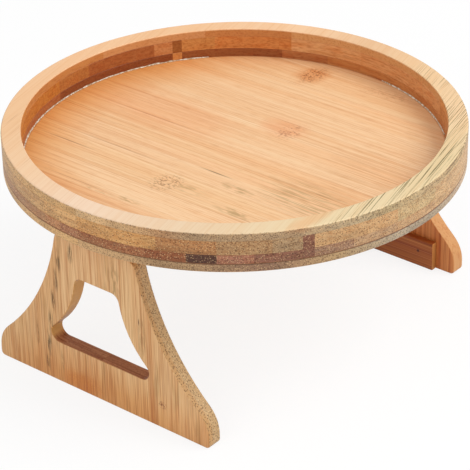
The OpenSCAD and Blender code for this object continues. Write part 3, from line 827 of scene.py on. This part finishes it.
def makeSpring(side, row):
    turns = spring["turns"]
    radius = spring["radius"]
    arm = spring["arm"]
    length = spring["pitch"] * turns
    count = int(spring["steps"] * turns)
    middle = Vector((side * spring["pinX"], row * spring["hingeY"], spring["pinZ"]))
    path = [(arm, -length / 2, radius), (arm / 2, -length / 2, radius)]
    for i in range(count + 1):
        turn = math.radians(90) + 2 * math.pi * turns * i / count
        path.append((radius * math.cos(turn), length * (i / count - 0.5), radius * math.sin(turn)))
    path += [(-radius, length / 2, -arm / 2), (-radius, length / 2, -arm)]
    name = sideNames[side] + rowNames[row].capitalize() + "Spring"
    curve = bpy.data.curves.new(name, "CURVE")
    curve.dimensions = "3D"
    curve.bevel_depth = spring["wire"] / 2
    curve.bevel_resolution = 2
    curve.use_fill_caps = True
    line = curve.splines.new("POLY")
    line.points.add(len(path) - 1)
    for point, place in zip(line.points, path):
        point.co = (middle.x - side * place[0], middle.y + place[1], middle.z + place[2], 1)
    piece = bpy.data.objects.new(name, curve)
    putInScene(piece)
    takeUp(piece)
    bpy.ops.object.convert(target="MESH")
    piece = bpy.context.active_object
    joinPoints(piece)  # closes the wire's ends
    leaveEdit()
    faceOutwards(piece)
    smoothOver(piece, smoothRound)
    stand(piece, None, "spring_wire", springWire, sideNames[side] + "_" + rowNames[row] + "_spring")
    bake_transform(piece)


for side in (-1, 1):
    for row in (-1, 1):
        makeSpring(side, row)
print("springs made")


# Pan-head screws with a cross recess: one pattern, copied to its places and made as deep as needed there.
# The sheet is the leaf's thickness, and the twists, in degrees, turn each recess its own way.
screw = {"head": 2.3 * mm, "headHigh": 1.2 * mm, "headRound": 0.55 * mm, "sides": 40, "sheet": 1.0 * mm,
         "shank": 1.25 * mm, "pitch": 9.5 * mm, "fromPin": 12.5 * mm, "trayDeep": 3.6 * mm,
         "legDeep": 6.5 * mm, "legFace": 105.22 * mm, "slotLong": 2.6 * mm, "slotWide": 0.55 * mm,
         "slotDeep": 0.7 * mm, "smooth": 35, "rowTwist": 25, "stepTwist": 40, "sideTwist": 10}


def makeScrew():
    bpy.ops.object.select_all(action="DESELECT")
    high = screw["headHigh"]
    low = -screw["sheet"] - high
    bpy.ops.mesh.primitive_cylinder_add(vertices=screw["sides"], radius=screw["head"], depth=high,
                                        location=(0, 0, low + high / 2))
    head = bpy.context.active_object
    head.name = "screwPattern"
    applyPlace(head)
    pick(head, "EDGE", lambda a, b: max(a.z, b.z) < low + slack)
    bpy.ops.mesh.bevel(offset=screw["headRound"], segments=4, affect="EDGES")
    leaveEdit()
    for turn in (0, 90):
        slot = (screw["slotLong"], screw["slotWide"], 2 * screw["slotDeep"])
        bpy.ops.mesh.primitive_cube_add(size=1, location=(0, 0, low), rotation=(0, 0, math.radians(turn)),
                                        scale=slot)
        bar = bpy.context.active_object
        applyPlace(bar)
        takeUp(head)
        cut = head.modifiers.new("recess", "BOOLEAN")
        cut.object = bar
        cut.operation = "DIFFERENCE"
        bpy.ops.object.modifier_apply(modifier=cut.name)
        bpy.data.objects.remove(bar)
    pick(head, "FACE", lambda centre, normal: normal.z > levelFace and centre.z > -screw["sheet"] - slack)
    bpy.ops.mesh.inset(thickness=screw["head"] - screw["shank"], depth=0)
    leaveEdit()
    smoothOver(head, screw["smooth"])
    return head


def copyScrews(name, places, body, node):
    made = []
    for place, turn, deep in places:
        bpy.ops.object.select_all(action="DESELECT")
        one = bpy.data.objects.new(name, screwPattern.data.copy())
        putInScene(one)
        pick(one, "FACE", lambda centre, normal: normal.z > levelFace
             and centre.xy.length < screw["shank"] / 2 and centre.z > -screw["sheet"] - slack)
        bpy.ops.mesh.extrude_region_move(TRANSFORM_OT_translate={"value": (0, 0, screw["sheet"] + deep)})
        leaveEdit()
        one.rotation_mode = "ZYX"  # the twist about the screw's own axis comes first
        one.rotation_euler = turn
        one.location = place
        applyPlace(one)
        made.append(one)
    bpy.ops.object.select_all(action="DESELECT")
    for one in made:
        one.select_set(True)
    bpy.context.view_layer.objects.active = made[0]
    bpy.ops.object.join()
    piece = bpy.context.active_object
    piece.name = name
    stand(piece, body, "screw_steel", screwSteel, node)


screwPattern = makeScrew()
trayPlaces = []
for side in (-1, 1):
    legPlaces = []
    x = side * (spring["pinX"] - screw["fromPin"])
    z = spring["pinZ"] - screw["fromPin"]
    for row in (-1, 1):
        for step in (-1, 1):
            y = row * spring["hingeY"] + step * screw["pitch"] / 2
            twist = screw["rowTwist"] * row + screw["stepTwist"] * step + screw["sideTwist"] * side
            twist = math.radians(twist)
            trayPlaces.append(((x, y, tray["floorLow"]), (0, 0, twist), screw["trayDeep"]))
            legPlaces.append(((side * screw["legFace"], y, z), (0, math.radians(90 * side), twist),
                              screw["legDeep"]))
    name = sideNames[side]
    copyScrews(name + "LegScrews", legPlaces, name + "_leg", name + "_leg_leaf_screws")
copyScrews("trayScrews", trayPlaces, "tray", "tray_leaf_screws")
bpy.data.objects.remove(screwPattern)
print("screws made")


# The stage: a paper floor, an even white surround and two soft lamps. Lift is how far the paper glows.
stageSet = {"floorHalf": 4.0, "drop": 0.1 * mm, "white": "#f8f8f8", "roughness": 0.9, "specular": 0.1,
            "lift": 0.84, "lamplight": 0.6}
bpy.ops.object.select_all(action="DESELECT")
bpy.ops.mesh.primitive_plane_add(size=2 * stageSet["floorHalf"], location=(0, 0, -stageSet["drop"]))
ground = bpy.context.active_object
ground.name = "studioFloor"


# The part of the rays that look straight at the background, where it shows as plain white.
def looksStraight(tree):
    seen = addNode(tree, "LightPath").node.outputs
    rays = {0: seen["Is Camera Ray"], 1: seen["Is Glossy Ray"]}
    direct = addNode(tree, "Math", rays, operation="MAXIMUM")
    return addNode(tree, "Math", {0: direct, 1: seen["Is Transmission Ray"]}, operation="MAXIMUM")


# Studio paper, matt white: it glows to white where it is looked at, keeps a soft shadow, and isn't there
# when seen from below.
groundMaterial, tree, shader = newMaterial("Studio paper, matt white")
shader.inputs["Base Color"].default_value = hexColour(stageSet["white"])
shader.inputs["Roughness"].default_value = stageSet["roughness"]
shader.inputs["Specular IOR Level"].default_value = stageSet["specular"]
white = addNode(tree, "Emission", {"Color": "#ffffff", "Strength": 1.0})
glow = addNode(tree, "Math", {0: looksStraight(tree), 1: stageSet["lift"]}, operation="MULTIPLY")
paper = addNode(tree, "MixShader", {0: glow, 1: shader.outputs[0], 2: white})
below = addNode(tree, "NewGeometry", out="Backfacing")
paper = addNode(tree, "MixShader", {0: below, 1: paper, 2: addNode(tree, "BsdfTransparent")})
tree.links.new(paper, tree.nodes["Material Output"].inputs["Surface"])
ground.data.materials.append(groundMaterial)

world = bpy.data.worlds.new("Studio")
world.use_nodes = True
bpy.context.scene.world = world
background = world.node_tree.nodes["Background"]
background.inputs["Color"].default_value = (1, 1, 1, 1)
straight = looksStraight(world.node_tree)
strength = addNode(world.node_tree, "MapRange", {0: straight, 3: stageSet["lamplight"]})
world.node_tree.links.new(strength, background.inputs["Strength"])

lamps = [
    {"name": "keySoftbox", "at": (0.7, -1.2, 1.7), "size": 1.4, "power": 26.0},
    {"name": "fillSoftbox", "at": (-1.5, -0.2, 1.2), "size": 1.4, "power": 9.0},
]
aimPoint = Vector((0, 0, 0.08))
for lamp in lamps:
    light = bpy.data.lights.new(lamp["name"], "AREA")
    light.size = lamp["size"]
    light.energy = lamp["power"]
    lampObject = bpy.data.objects.new(lamp["name"], light)
    lampObject.location = lamp["at"]
    lampObject.rotation_euler = (aimPoint - Vector(lamp["at"])).to_track_quat("-Z", "Y").to_euler()
    putInScene(lampObject)

# Fitted to the photo: degrees about X, Y and Z.
cameraSet = {"lens": 170.795, "sensor": 36, "at": (-0.820181, -0.683740, 0.660143),
             "turn": (60.1965, 1.0707, -50.7439)}
cameraData = bpy.data.cameras.new("photoCamera")
cameraData.lens = cameraSet["lens"]
cameraData.sensor_width = cameraSet["sensor"]
camera = bpy.data.objects.new("photoCamera", cameraData)
camera.location = cameraSet["at"]
camera.rotation_euler = [math.radians(a) for a in cameraSet["turn"]]
putInScene(camera)
bpy.context.scene.camera = camera
bpy.context.scene.view_settings.view_transform = "Standard"
print("stage made")
